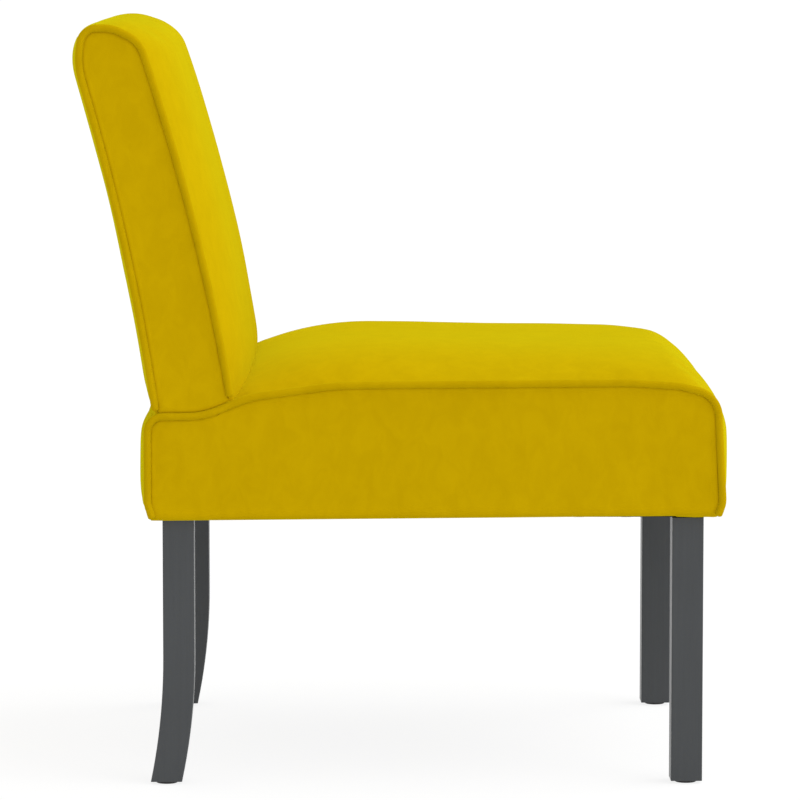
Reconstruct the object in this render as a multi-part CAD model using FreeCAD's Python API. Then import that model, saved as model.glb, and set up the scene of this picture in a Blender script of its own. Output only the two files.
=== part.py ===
import FreeCAD, Part
import math
import os

from FreeCAD import Vector

# Slipper chair: an upholstered seat box and a raked, upholstered back on four wooden legs.
# +Z is up, the chair faces -Y, and X runs across it. All sizes are in millimetres.
os.makedirs("parts", exist_ok=True)

# Overall driving sizes
welt_span = 532.0
seat_depth = 567.0
seat_box_height = 94.8
seat_rear_y = 249.0
leg_length = 267.2
back_rise = 386.0
back_panel_depth = 66.0
crown_power = 4.0

# Cloth, cord and clearances
cover_thickness = 2.0
cover_rise = 4.0
welt_radius = 3.75
welt_tail = 13.0
soft_gap = 0.3
tunnel_gap = 0.5
dust_cloth_thickness = 0.8
dust_cover_inset = 9.0
panel_dome = 6.2
flange_width = 25.0

# Side shape of the seat: lengths along it from the rear to the front, and rises above the rear step
seat_notch_run = 53.0
seat_slope_run = 46.0
seat_slope_rise = 19.5
seat_climb_run = 88.0
seat_climb_rise = 31.4
seat_crest_rise = 33.6
seat_nose_run = 48.0
seat_nose_rise = 30.2
seat_brow_run = 34.8
seat_brow_rise = 21.4
seat_brow_inset = 5.2

# Side shape of the back: how far its corners lean back behind the seat's rear, and drops from its top
back_shoulder_lean = 67.0
back_shoulder_drop = 32.7
back_crest_lean = 62.6
back_crest_run = 25.4
back_nose_run = 24.9
back_nose_drop = 11.8
back_bend_lean = 18.0
back_root_inset = 14.0
back_root_run = 4.0
back_tuck = 28.0
post_bend_lean = 25.0
post_top_lean = 76.5

# Wood sections
rail_thickness = 18.0
rail_height = 82.0
rail_inset = 8.0
front_rail_inset = 12.0
rear_frame_inset = 17.0
stile_depth = 40.0
stile_width = 36.0
stile_top_drop = 24.0
board_thickness = 3.0
board_inset = 4.0
block_size = 60.0
block_height = 50.0
top_rail_height = 40.0
middle_rail_height = 50.0
lower_rail_height = 45.0
lower_rail_rise = 30.0

# Legs and glides
leg_section = 31.5
leg_edge_radius = 1.5
leg_side_inset = 3.0
front_leg_setback = 18.1
rear_leg_setback = 9.3
sweep_height = 126.0
sweep_back = 13.0
glide_radius = 11.0
glide_thickness = 3.0
glide_edge_radius = 1.0
nail_radius = 1.6
nail_length = 23.2
nail_recess = 0.8

# Fixings
bolt_radius = 4.0
hanger_above = 48.0
hanger_below = 42.0
hanger_inset_x = 8.0
hanger_inset_y = 8.0
insert_radius = 6.0
insert_length = 20.0
screw_radius = 2.2
screw_length = 50.0
screw_edge_distance = 20.0
post_bolt_low = 30.0
post_bolt_below_top = 20.0
post_bolt_setback = 11.0
bolt_head_radius = 9.0
bolt_head_thickness = 3.0
bolt_tail = 3.0
washer_radius = 8.0
washer_thickness = 1.6
nut_across_corners = 15.0
nut_thickness = 6.5
webbing_width = 50.0
webbing_thickness = 2.0
webbing_margin = 8.0
long_strap_pitch = 104.0
cross_strap_pitch = 118.0
back_strap_pitch = 66.0
platform_thickness = 1.2
staple_wire = 0.6
staple_crown = 10.0
staple_pitch = 45.0
staple_margin = 5.0

# Heights that follow from the sizes above
leg_top = glide_thickness + leg_length
flange_bottom = leg_top + dust_cloth_thickness
frame_bottom = flange_bottom + cover_thickness
rail_top = frame_bottom + rail_height
seat_low = flange_bottom + cover_rise
seat_step = seat_low + seat_box_height
seat_front_y = seat_rear_y - seat_depth
strip_half = welt_span / 2 - welt_radius - soft_gap
panel_edge_x = strip_half + 0.4
rail_outer_x = welt_span / 2 - rail_inset
foam_floor = rail_top + 2 * webbing_thickness + platform_thickness + soft_gap
rail_inner_x = rail_outer_x - rail_thickness
stile_inner_x = rail_outer_x - stile_width
front_rail_y = seat_front_y + front_rail_inset
front_rail_back_y = front_rail_y + rail_thickness
stile_rear_y = seat_rear_y - rear_frame_inset
stile_front_y = stile_rear_y - stile_depth
back_top = seat_step + back_rise
back_bend = seat_step + 0.48 * back_rise
leg_outer_x = rail_outer_x - leg_side_inset
leg_centre_x = leg_outer_x - leg_section / 2
front_leg_y = front_rail_y + front_leg_setback
rear_leg_y = stile_rear_y - rear_leg_setback
hanger_x = leg_centre_x - hanger_inset_x

# Seam line of a side, seen from the side: y, z, corner radius, then how far the corner moves
# out in y and in z, and how much rounder it gets, at the middle of the width.
seat_notch_y = seat_rear_y - seat_notch_run
seat_slope_y = seat_notch_y - seat_slope_run
seat_climb_y = seat_slope_y - seat_climb_run
seat_brow_y = seat_front_y + seat_brow_inset
seat_nose_y = seat_brow_y + seat_brow_run
seat_crest_y = seat_nose_y + seat_nose_run
seat_seam = [
    (seat_rear_y, seat_low, 4, 12, 0, 0),
    (seat_rear_y, seat_step, 12, 9.5, 0, 6),
    (seat_notch_y, seat_step + 0.4, 85, 2, 3, 0),
    (seat_slope_y, seat_step + seat_slope_rise, 110, 4, 19, 20),
    (seat_climb_y, seat_step + seat_climb_rise, 350, 5, 30.5, 0),
    (seat_crest_y, seat_step + seat_crest_rise, 250, -2, 25.5, 0),
    (seat_nose_y, seat_step + seat_nose_rise, 47, -5, 20, 0),
    (seat_brow_y, seat_step + seat_brow_rise, 24, -19, -8.5, 60),
    (seat_front_y, seat_low, 5, -14, 0, 3),
]
back_root_y = seat_rear_y - back_root_inset
back_bend_y = seat_rear_y + back_bend_lean
back_crest_y = seat_rear_y + back_crest_lean
back_brow_y = back_crest_y - back_crest_run
back_nose_y = back_brow_y - back_nose_run
back_tuck_z = seat_step - back_tuck
back_seam = [
    (back_root_y, back_tuck_z, 1, 13, 0, 0),
    (back_bend_y, back_bend - 2.3, 2500, 14, 0, 0),
    (seat_rear_y + back_shoulder_lean, back_top - back_shoulder_drop, 80, 18, 9, 15),
    (back_crest_y, back_top, 13, 12, -3, 6),
    (back_brow_y, back_top, 34, 0, 13.5, 34),
    (back_nose_y, back_top - back_nose_drop, 29, -25.5, 11, 24),
    (back_bend_y - back_panel_depth, back_bend + 2.7, 2300, -31, 0, 0),
    (back_root_y - back_root_run - back_panel_depth, back_tuck_z, 1, -23.5, 0, 0),
]

# Centre line of a back post: it stands in the seat box, then follows the back's curve.
post_y = stile_rear_y - stile_depth / 2
post_line = [
    (post_y, frame_bottom),
    (post_y, seat_step + 2),
    (post_y + post_bend_lean, back_bend + 0.7),
    (post_y + post_top_lean, back_top - stile_top_drop),
]
post_bends = [0, 300, 2200, 0]

crown_stations = (-1.0, -0.8, -0.5, 0.0, 0.5, 0.8, 1.0)
nodes = {}


def crossing(point_a, along_a, point_b, along_b):
    """Point where two lines meet, each given by a point and a direction."""
    slope = along_a[0] * along_b[1] - along_a[1] * along_b[0]
    gap = (point_b[0] - point_a[0], point_b[1] - point_a[1])
    reach = (gap[0] * along_b[1] - gap[1] * along_b[0]) / slope
    return (point_a[0] + along_a[0] * reach, point_a[1] + along_a[1] * reach)


def direction(start, end):
    """Unit vector from one point to another."""
    length = math.hypot(end[0] - start[0], end[1] - start[1])
    return ((end[0] - start[0]) / length, (end[1] - start[1]) / length)


def shifted(points, distance, closed):
    """Polygon with every side moved to its right by one distance."""
    count = len(points)
    sides = []
    for i in range(count if closed else count - 1):
        start, end = points[i], points[(i + 1) % count]
        along = direction(start, end)
        moved = (start[0] + along[1] * distance, start[1] - along[0] * distance)
        sides.append((moved, along))
    result = []
    for i in range(count):
        if not closed and i == 0:
            result.append(sides[0][0])
        elif not closed and i == count - 1:
            along = sides[-1][1]
            end = points[-1]
            result.append((end[0] + along[1] * distance, end[1] - along[0] * distance))
        else:
            result.append(crossing(*sides[i - 1], *sides[i]))
    return result


def turn_at(points, i):
    """Signed turn of a polygon at one corner, in radians, left turns positive."""
    before = direction(points[i - 1], points[i])
    after = direction(points[i], points[(i + 1) % len(points)])
    cross = before[0] * after[1] - before[1] * after[0]
    return math.atan2(cross, before[0] * after[0] + before[1] * after[1])


def rounded_edges(points, radii, x, closed=True):
    """Lines joined by tangent arcs along a polygon in the plane at x."""
    count = len(points)
    cut = []
    for i in range(count):
        loose_end = not closed and i in (0, count - 1)
        turn = 0 if loose_end else abs(turn_at(points, i))
        cut.append(0 if loose_end else radii[i] * math.tan(turn / 2))
    for i in range(count if closed else count - 1):
        after = (i + 1) % count
        room = 0.96 * math.dist(points[i], points[after])
        if cut[i] + cut[after] > room:
            share = room / (cut[i] + cut[after])
            cut[i] *= share
            cut[after] *= share
    corners = []
    for i in range(count):
        here = points[i]
        if cut[i] < 1e-6:
            corners.append((here, here, here))
            continue
        back = direction(here, points[i - 1])
        ahead = direction(here, points[(i + 1) % count])
        start = (here[0] + back[0] * cut[i], here[1] + back[1] * cut[i])
        end = (here[0] + ahead[0] * cut[i], here[1] + ahead[1] * cut[i])
        half_turn = abs(turn_at(points, i)) / 2
        radius = cut[i] / math.tan(half_turn)
        inward = direction(here, ((start[0] + end[0]) / 2, (start[1] + end[1]) / 2))
        depth = radius / math.cos(half_turn) - radius
        middle = (here[0] + inward[0] * depth, here[1] + inward[1] * depth)
        corners.append((start, middle, end))
    edges = []
    for i in range(count if closed else count - 1):
        start, middle, end = (Vector(x, *point) for point in corners[i])
        if start.distanceToPoint(end) > 1e-6:
            edges.append(Part.Arc(start, middle, end).toShape())
        following = Vector(x, *corners[(i + 1) % count][0])
        edges.append(Part.makeLine(end, following))
    return edges


def seam_wire(seam, x, grow, crown=0.0):
    """Closed side outline at x, grown outwards, its corners moved by a share of the crown."""
    points = [(y + crown * out_y, z + crown * out_z) for y, z, r, out_y, out_z, e in seam]
    radii = []
    for i, corner in enumerate(seam):
        radius = corner[2] + crown * corner[5]
        radius += grow if turn_at(points, i) > 0 else -grow
        radii.append(max(radius, 1.0))
    return Part.Wire(rounded_edges(shifted(points, grow, True), radii, x))


def crowned(seam, half_width, grow):
    """Body across the chair whose outline swells from the sides to the middle."""
    wires = []
    for station in crown_stations:
        crown = 1 - abs(station * half_width / strip_half) ** crown_power
        wires.append(seam_wire(seam, station * half_width, grow, max(crown, 0.0)))
    return Part.makeLoft(wires, True, False)


def prism(seam, x_from, x_to, grow):
    """Straight body between two planes across the chair with one side outline."""
    return Part.Face(seam_wire(seam, x_from, grow)).extrude(Vector(x_to - x_from, 0, 0))


def pillow(seam, base_x, edge_x, grow):
    """Body with a flat back at base_x and a domed outer face that starts at edge_x."""
    steps = ((0.0, 0.0), (5.5, 0.5), (11.5, 0.85), (17.0, 1.0))
    wires = [seam_wire(seam, edge_x + lift * panel_dome, grow - inset) for inset, lift in steps]
    return prism(seam, base_x, edge_x, grow).fuse(Part.makeLoft(wires, True, False))


def block(x_from, x_to, y_from, y_to, z_from, z_to):
    """Box between two corners."""
    return Part.makeBox(
        x_to - x_from, y_to - y_from, z_to - z_from, Vector(x_from, y_from, z_from)
    )


def rod(radius, start, end):
    """Round bar from one point to another."""
    along = end - start
    return Part.makeCylinder(radius, along.Length, start, along)


def post_slab(front, rear, x_from, x_to):
    """Body that follows the back posts, between two distances from their centre line."""
    edge_front = shifted(post_line, -front, False)
    edge_rear = shifted(post_line, rear, False)
    bends_front = [radius + front if radius else 0 for radius in post_bends]
    bends_rear = [max(radius - rear, 1) if radius else 0 for radius in post_bends]
    front_side = rounded_edges(edge_front, bends_front, x_from, closed=False)
    rear_side = rounded_edges(edge_rear, bends_rear, x_from, closed=False)
    foot = Part.makeLine(Vector(x_from, *edge_front[0]), Vector(x_from, *edge_rear[0]))
    head = Part.makeLine(Vector(x_from, *edge_front[-1]), Vector(x_from, *edge_rear[-1]))
    outline = Part.Wire(Part.__sortEdges__(front_side + rear_side + [foot, head]))
    return Part.Face(outline).extrude(Vector(x_to - x_from, 0, 0))


def slice_between(shape, z_from, z_to):
    """Part of a shape between two heights."""
    reach = 2 * welt_span
    return shape.common(block(-reach, reach, -reach, reach, z_from, z_to))


def mirrored(shape):
    """Copy of a shape on the other side of the chair."""
    return shape.mirror(Vector(0, 0, 0), Vector(1, 0, 0))


def both_sides(shape):
    """A shape and its copy on the other side."""
    return [shape, mirrored(shape)]


def spread(low, high, pitch):
    """Places evenly spread between two limits, about one pitch apart."""
    count = max(int((high - low) / pitch), 1)
    return [low + (i + 0.5) * (high - low) / count for i in range(count)]


def keep(name, shapes):
    """Store the solids of one named piece."""
    solids = []
    for shape in shapes if isinstance(shapes, list) else [shapes]:
        solids += shape.Solids
    nodes[name] = solids


def keep_pair(name, right):
    """Store one side's piece and its mirrored twin. Right and left are the sitter's."""
    keep(name + "_left", right)
    keep(name + "_right", mirrored(right))


# Where things stand on the +X side, which is the sitter's left
leg_sites = {"front": front_leg_y, "rear": rear_leg_y}
hanger_sites = {"front": front_leg_y + hanger_inset_y, "rear": rear_leg_y - hanger_inset_y}


# Seat frame
def seat_frame():
    """Four rails; the side rails carry the webbing and the back posts."""
    low, high = frame_bottom, rail_top
    front = block(-rail_outer_x, rail_outer_x, front_rail_y, front_rail_back_y, low, high)
    rear = block(-stile_inner_x, stile_inner_x, stile_rear_y - rail_thickness, stile_rear_y, low, high)
    side = block(rail_inner_x, rail_outer_x, front_rail_back_y, stile_rear_y, low, high)
    for screw in rail_screws():
        front = front.cut(screw)
        side = side.cut(screw)
        rear = rear.cut(screw)
    for bolt in post_bolt_rods():
        side = side.cut(bolt)
    keep("seat_rail_front", front)
    keep("seat_rail_rear", rear)
    keep_pair("seat_rail", side)


def rail_screws():
    """Wood screws through the front rail into the side rails, and through the posts."""
    screws = []
    head_height = screw_radius
    for height in (screw_edge_distance, rail_height - screw_edge_distance):
        z = frame_bottom + height
        x = rail_inner_x + rail_thickness / 2
        start = Vector(x, front_rail_y, z)
        shank = rod(screw_radius, start, start + Vector(0, screw_length, 0))
        head = Part.makeCone(2 * screw_radius, screw_radius, head_height, start, Vector(0, 1, 0))
        screws += both_sides(shank.fuse(head))
        start = Vector(rail_inner_x, stile_rear_y - rail_thickness / 2, z)
        shank = rod(screw_radius, start, start - Vector(screw_length, 0, 0))
        head = Part.makeCone(2 * screw_radius, screw_radius, head_height, start, Vector(-1, 0, 0))
        screws += both_sides(shank.fuse(head))
    return screws


def corner_blocks():
    """Three-cornered blocks glued in the front corners; the front legs screw up into them."""
    corner_y = front_rail_back_y
    points = [
        Vector(rail_inner_x, corner_y, frame_bottom),
        Vector(rail_inner_x - block_size, corner_y, frame_bottom),
        Vector(rail_inner_x, corner_y + block_size, frame_bottom),
    ]
    face = Part.Face(Part.makePolygon(points + points[:1]))
    body = face.extrude(Vector(0, 0, block_height))
    body = body.cut(hanger_hole("front"))
    keep("seat_corner_blocks", both_sides(body))


def hanger_hole(site):
    """Hole for one leg bolt and its insert nut."""
    foot = Vector(hanger_x, hanger_sites[site], frame_bottom)
    wide = rod(insert_radius, foot, foot + Vector(0, 0, insert_length))
    narrow = rod(bolt_radius + soft_gap, foot, foot + Vector(0, 0, hanger_above + 1))
    return wide.fuse(narrow)


# Leg fixings
def leg_fixings():
    """Hanger bolts that join the legs to insert nuts in the blocks and the posts."""
    bolts = []
    inserts = []
    for y in hanger_sites.values():
        low = Vector(hanger_x, y, leg_top - hanger_below)
        high = Vector(hanger_x, y, frame_bottom + hanger_above)
        bolts += both_sides(rod(bolt_radius, low, high))
        foot = Vector(hanger_x, y, frame_bottom)
        shell = rod(insert_radius, foot, foot + Vector(0, 0, insert_length))
        bore = rod(bolt_radius, foot, foot + Vector(0, 0, insert_length))
        inserts += both_sides(shell.cut(bore))
    keep("leg_hanger_bolts", bolts)
    keep("leg_insert_nuts", inserts)


# Legs
def leg_outline(y, swept):
    """Side outline of a leg; a rear leg's foot sweeps back on a single arc."""
    front = y - leg_section / 2
    rear = y + leg_section / 2
    low = glide_thickness
    if not swept:
        corners = [Vector(0, front, low), Vector(0, rear, low), Vector(0, rear, leg_top)]
        corners += [Vector(0, front, leg_top)]
        return Part.makePolygon(corners + corners[:1])
    radius = (sweep_height**2 + sweep_back**2) / (2 * sweep_back)
    half_angle = math.asin(sweep_height / radius) / 2
    mid_z = low + sweep_height - radius * math.sin(half_angle)
    mid_back = radius * (1 - math.cos(half_angle))
    edges = []
    for side in (front, rear):
        top = Vector(0, side, leg_top)
        start = Vector(0, side, low + sweep_height)
        middle = Vector(0, side + mid_back, mid_z)
        foot = Vector(0, side + sweep_back, low)
        edges.append(Part.makeLine(top, start))
        edges.append(Part.Arc(start, middle, foot).toShape())
    edges.append(Part.makeLine(Vector(0, front, leg_top), Vector(0, rear, leg_top)))
    edges.append(
        Part.makeLine(Vector(0, front + sweep_back, low), Vector(0, rear + sweep_back, low))
    )
    return Part.Wire(Part.__sortEdges__(edges))


def legs():
    """Square legs with eased edges, each on a round glide nailed into its foot."""
    nails = []
    for site, y in leg_sites.items():
        swept = site == "rear"
        body = Part.Face(leg_outline(y, swept)).extrude(Vector(leg_section, 0, 0))
        body.translate(Vector(leg_outer_x - leg_section, 0, 0))
        long_edges = [edge for edge in body.Edges if abs(edge.tangentAt(edge.FirstParameter).x) < 0.5]
        long_edges = [edge for edge in long_edges if edge.BoundBox.ZLength > leg_section]
        body = body.makeFillet(leg_edge_radius, long_edges)
        foot_y = y + (sweep_back if swept else 0)
        floor_point = Vector(leg_centre_x, foot_y, 0)
        under_leg = floor_point + Vector(0, 0, glide_thickness)
        nail_foot = floor_point + Vector(0, 0, nail_recess)
        nail = rod(nail_radius, nail_foot, nail_foot + Vector(0, 0, nail_length))
        bolt = rod(
            bolt_radius,
            Vector(hanger_x, hanger_sites[site], leg_top - hanger_below),
            Vector(hanger_x, hanger_sites[site], leg_top),
        )
        keep_pair("leg_" + site, body.cut(nail).cut(bolt))
        glide = rod(glide_radius, floor_point, under_leg)
        low_edges = [edge for edge in glide.Edges if edge.BoundBox.ZMax < 0.01]
        glide = glide.makeFillet(glide_edge_radius, low_edges).cut(nail)
        keep_pair("glide_" + site, glide)
        nails += both_sides(nail)
    keep("glide_nails", nails)


# Back frame
def back_posts():
    """Posts halved over the side rails, and the rails between them."""
    half = stile_depth / 2
    post = post_slab(half, half, stile_inner_x, rail_outer_x)
    lap = block(rail_inner_x, rail_outer_x + 1, front_rail_y, seat_rear_y, 0, rail_top)
    post = post.cut(lap).cut(hanger_hole("rear"))
    for tool in rail_screws() + post_bolt_rods():
        post = post.cut(tool)
    keep_pair("back_post", post)
    across = (-stile_inner_x, stile_inner_x)
    top_z = back_top - stile_top_drop
    whole = post_slab(half, half, *across)
    keep("back_rail_top", slice_between(whole, top_z - top_rail_height, back_top))
    rear_half = post_slab(0, half, *across)
    middle_z = (seat_step + back_top - middle_rail_height) / 2
    keep("back_rail_middle", slice_between(rear_half, middle_z, middle_z + middle_rail_height))
    lower_z = seat_step + lower_rail_rise
    keep("back_rail_lower", slice_between(rear_half, lower_z, lower_z + lower_rail_height))


def post_bolt_points():
    """Where the two bolts of a post enter the outer face of its side rail."""
    y = stile_front_y + post_bolt_setback
    low = frame_bottom + post_bolt_low
    high = rail_top - post_bolt_below_top
    return [Vector(rail_outer_x, y, low), Vector(rail_outer_x, y, high)]


def post_bolt_rods():
    """Two bolts a side through a side rail and the post's inner half."""
    rods = []
    for point in post_bolt_points():
        rods += both_sides(rod(bolt_radius, point, point - Vector(stile_width, 0, 0)))
    return rods


def post_bolts():
    """Round-headed bolts with washers and hexagon nuts on the inner side."""
    bolts = []
    washers = []
    nuts = []
    for point in post_bolt_points():
        inner = Vector(stile_inner_x, point.y, point.z)
        tail = inner - Vector(washer_thickness + nut_thickness + bolt_tail, 0, 0)
        head = rod(bolt_head_radius, point, point + Vector(bolt_head_thickness, 0, 0))
        bolts += both_sides(rod(bolt_radius, point, tail).fuse(head))
        washer = rod(washer_radius, inner, inner - Vector(washer_thickness, 0, 0))
        nut_face = inner - Vector(washer_thickness, 0, 0)
        corners = []
        for i in range(7):
            angle = math.radians(60 * i)
            offset = Vector(0, math.cos(angle), math.sin(angle)) * (nut_across_corners / 2)
            corners.append(nut_face + offset)
        nut = Part.Face(Part.makePolygon(corners)).extrude(Vector(-nut_thickness, 0, 0))
        shank = rod(bolt_radius, point, tail)
        washers += both_sides(washer.cut(shank))
        nuts += both_sides(nut.cut(shank))
    keep("post_bolts", bolts)
    keep("post_bolt_washers", washers)
    keep("post_bolt_nuts", nuts)


def back_board():
    """Thin fibreboard that closes the frame behind, under the rear padding."""
    half = stile_depth / 2
    reach = rail_outer_x - board_inset
    sheet = post_slab(-half, half + board_thickness, -reach, reach)
    low = seat_step + lower_rail_rise - board_inset
    high = back_top - stile_top_drop - 2 * board_inset
    keep("back_board", slice_between(sheet, low, high))


# Webbing
def seat_webbing():
    """Elastic straps stapled on the rails both ways, the cross straps on top."""
    long_straps = []
    cross_straps = []
    staples = []
    width, thick, wire = webbing_width, webbing_thickness, staple_wire
    strap_top = rail_top + thick
    tack = 0.4 * width
    first_y, last_y = front_rail_y + staple_margin, stile_rear_y - staple_margin
    for x in spread(-rail_inner_x, rail_inner_x, long_strap_pitch):
        long_straps.append(
            block(x - width / 2, x + width / 2, first_y, last_y, rail_top, rail_top + thick)
        )
        for y in (first_y + staple_margin, last_y - staple_margin):
            staples.append(block(x - tack, x + tack, y - wire, y + wire, strap_top, strap_top + wire))
    low_reach, high_reach = rail_outer_x - webbing_thickness, rail_inner_x - webbing_margin
    for y in spread(front_rail_back_y, stile_front_y, cross_strap_pitch):
        profile = [
            (-low_reach, 0), (-rail_inner_x, 0), (-high_reach, thick), (high_reach, thick),
            (rail_inner_x, 0), (low_reach, 0), (low_reach, thick), (rail_inner_x, thick),
            (high_reach, 2 * thick), (-high_reach, 2 * thick), (-rail_inner_x, thick),
            (-low_reach, thick),
        ]
        points = [Vector(x, y - width / 2, rail_top + z) for x, z in profile]
        face = Part.Face(Part.makePolygon(points + points[:1]))
        cross_straps.append(face.extrude(Vector(0, width, 0)))
        for x in (rail_inner_x + webbing_margin, -rail_inner_x - webbing_margin):
            staples.append(block(x - wire, x + wire, y - tack, y + tack, strap_top, strap_top + wire))
    keep("seat_webbing_long", long_straps)
    keep("seat_webbing_cross", cross_straps)
    keep("seat_webbing_staples", staples)


def platform_cloth():
    """Cloth over the straps that keeps the foam from pushing through."""
    reach = rail_inner_x - webbing_margin - soft_gap
    low = rail_top + 2 * webbing_thickness
    y_from = front_rail_back_y + webbing_margin
    y_to = stile_front_y - webbing_margin
    keep("seat_platform_cloth", block(-reach, reach, y_from, y_to, low, low + platform_thickness))


def back_webbing():
    """Straps across the front of the posts."""
    half = stile_depth / 2
    reach = rail_outer_x - board_inset
    tack = 0.36 * webbing_width
    tack_x = (stile_inner_x + rail_outer_x) / 2
    sheet = post_slab(half + webbing_thickness, -half, -reach, reach)
    staple_rear = -half - webbing_thickness
    staple_sheet = post_slab(staple_wire - staple_rear, staple_rear, -reach, reach)
    straps = []
    staples = []
    for middle in spread(seat_step + lower_rail_rise, back_top - stile_top_drop, back_strap_pitch):
        low, high = middle - webbing_width / 2, middle + webbing_width / 2
        straps.append(slice_between(sheet, low, high))
        for x in (tack_x, -tack_x):
            column = block(x - staple_wire, x + staple_wire, -welt_span, welt_span, low, high)
            staples.append(slice_between(staple_sheet.common(column), middle - tack, middle + tack))
    keep("back_webbing", straps)
    keep("back_webbing_staples", staples)


# Upholstery
def frame_zone():
    """Space of the seat frame and webbing, which the seat foam leaves free."""
    gap = soft_gap
    return block(
        -welt_span, welt_span, front_rail_y - gap, stile_rear_y + gap, 0, foam_floor
    )


def post_tunnels():
    """Space of both posts with a clearance, cut out of the seat foam and cover."""
    half = stile_depth / 2 + tunnel_gap
    tunnel = post_slab(half, half, stile_inner_x - tunnel_gap, rail_outer_x + tunnel_gap)
    return both_sides(slice_between(tunnel, frame_bottom, back_bend))


def seat_upholstery():
    """Crowned foam, the cover strip round rear, top and front, side panels and welts."""
    foam = crowned(seat_seam, rail_outer_x - soft_gap, cover_rise - cover_thickness - soft_gap)
    foam = foam.cut(frame_zone())
    strip = crowned(seat_seam, strip_half, cover_rise)
    strip = strip.cut(crowned(seat_seam, strip_half, cover_rise - cover_thickness))
    window = block(
        -welt_span, welt_span, front_rail_y + flange_width, stile_rear_y - flange_width,
        0, frame_bottom + 1,
    )
    strip = strip.cut(window)
    for tool in post_tunnels():
        foam = foam.cut(tool)
        strip = strip.cut(tool)
    for y in hanger_sites.values():
        for tool in both_sides(rod(bolt_radius + 1, Vector(hanger_x, y, 0), Vector(hanger_x, y, rail_top))):
            strip = strip.cut(tool)
    keep("seat_foam", foam)
    keep("seat_cover_strip", strip)
    y_from = front_rail_y + flange_width + soft_gap
    y_to = stile_rear_y - flange_width - soft_gap
    flange = block(rail_inner_x, panel_edge_x, y_from, y_to, flange_bottom, frame_bottom)
    turn_x = panel_edge_x - cover_thickness
    turn = block(turn_x, panel_edge_x, y_from, y_to, flange_bottom, seat_low)
    keep_pair("seat_side_panel", side_panel(seat_seam).fuse([flange, turn]))
    pad = side_pad(seat_seam, rail_outer_x + soft_gap)
    for bolt in nodes["post_bolts"]:
        pad = pad.cut(bolt)
    keep_pair("seat_side_pad", pad)
    keep_pair("seat_welt", welt(seat_seam, tails=True))


def side_panel(seam):
    """Side panel of the cover: cloth domed by the pad behind it."""
    grow = cover_rise - cover_thickness - soft_gap
    outer = pillow(seam, panel_edge_x - cover_thickness, panel_edge_x, grow)
    inner_edge = panel_edge_x - cover_thickness
    inner = pillow(seam, inner_edge - 5, inner_edge, grow - cover_thickness)
    return outer.cut(inner)


def side_pad(seam, base_x):
    """Thin pad between the frame and a side panel."""
    grow = cover_rise - cover_thickness - soft_gap - cover_thickness - soft_gap
    return pillow(seam, base_x, panel_edge_x - cover_thickness - soft_gap, grow)


def welt(seam, tails):
    """Cloth-covered cord sewn in the seam, from the rear bottom over the top to the front."""
    points = [(corner[0], corner[1]) for corner in seam]
    radii = [corner[2] for corner in seam]
    if tails:
        rear_tail = (points[0][0] - welt_tail, points[0][1])
        front_tail = (points[-1][0] + welt_tail, points[-1][1])
        points = [rear_tail] + points + [front_tail]
        radii = [0] + radii + [0]
    radii = [radius + welt_radius if radius else 0 for radius in radii]
    line = shifted(points, welt_radius, False)
    edges = rounded_edges(line, radii, welt_span / 2, closed=False)
    path = Part.Wire(edges)
    start = edges[0].valueAt(edges[0].FirstParameter)
    along = edges[0].tangentAt(edges[0].FirstParameter)
    ring = Part.Wire([Part.makeCircle(welt_radius, start, along)])
    return path.makePipeShell([ring], True, False)


def seat_keepout():
    """Space that the seat fills, with a clearance, which the back's cloth and foam leave free."""
    grow = cover_rise + soft_gap
    body = crowned(seat_seam, strip_half, grow)
    outer_x = welt_span / 2 + panel_dome + 8
    welt_grow = 2 * welt_radius + soft_gap
    plate = prism(seat_seam, strip_half - 0.5, outer_x, welt_grow)
    return [body] + both_sides(plate)


def back_upholstery():
    """Crowned foam in front, padding behind, the cover strip, side panels and welts."""
    half = stile_depth / 2
    gap = soft_gap
    foam_reach = rail_outer_x - gap
    grow = cover_rise - cover_thickness - gap
    body = crowned(back_seam, foam_reach, grow)
    front_plane = half + webbing_thickness + staple_wire + gap
    behind = post_slab(front_plane, 4 * stile_depth, -welt_span, welt_span)
    rear_plane = half + board_thickness + gap
    rear_space = post_slab(-rear_plane, 4 * stile_depth, -welt_span, welt_span)
    foam = body.cut(behind)
    padding = body.common(rear_space)
    strip = crowned(back_seam, strip_half, cover_rise)
    strip = strip.cut(crowned(back_seam, strip_half, cover_rise - cover_thickness))
    panel = side_panel(back_seam)
    pad = side_pad(back_seam, rail_outer_x + gap)
    cord = welt(back_seam, tails=False)
    pieces = {"foam": foam, "padding": padding, "strip": strip}
    pieces.update({"panel": panel, "pad": pad, "cord": cord})
    for tool in seat_keepout():
        pieces = {name: shape.cut(tool) for name, shape in pieces.items()}
    keep("back_foam", pieces["foam"])
    keep("back_rear_padding", pieces["padding"])
    keep("back_cover_strip", pieces["strip"])
    keep_pair("back_side_panel", pieces["panel"])
    keep_pair("back_side_pad", pieces["pad"])
    keep_pair("back_welt", pieces["cord"])


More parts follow.
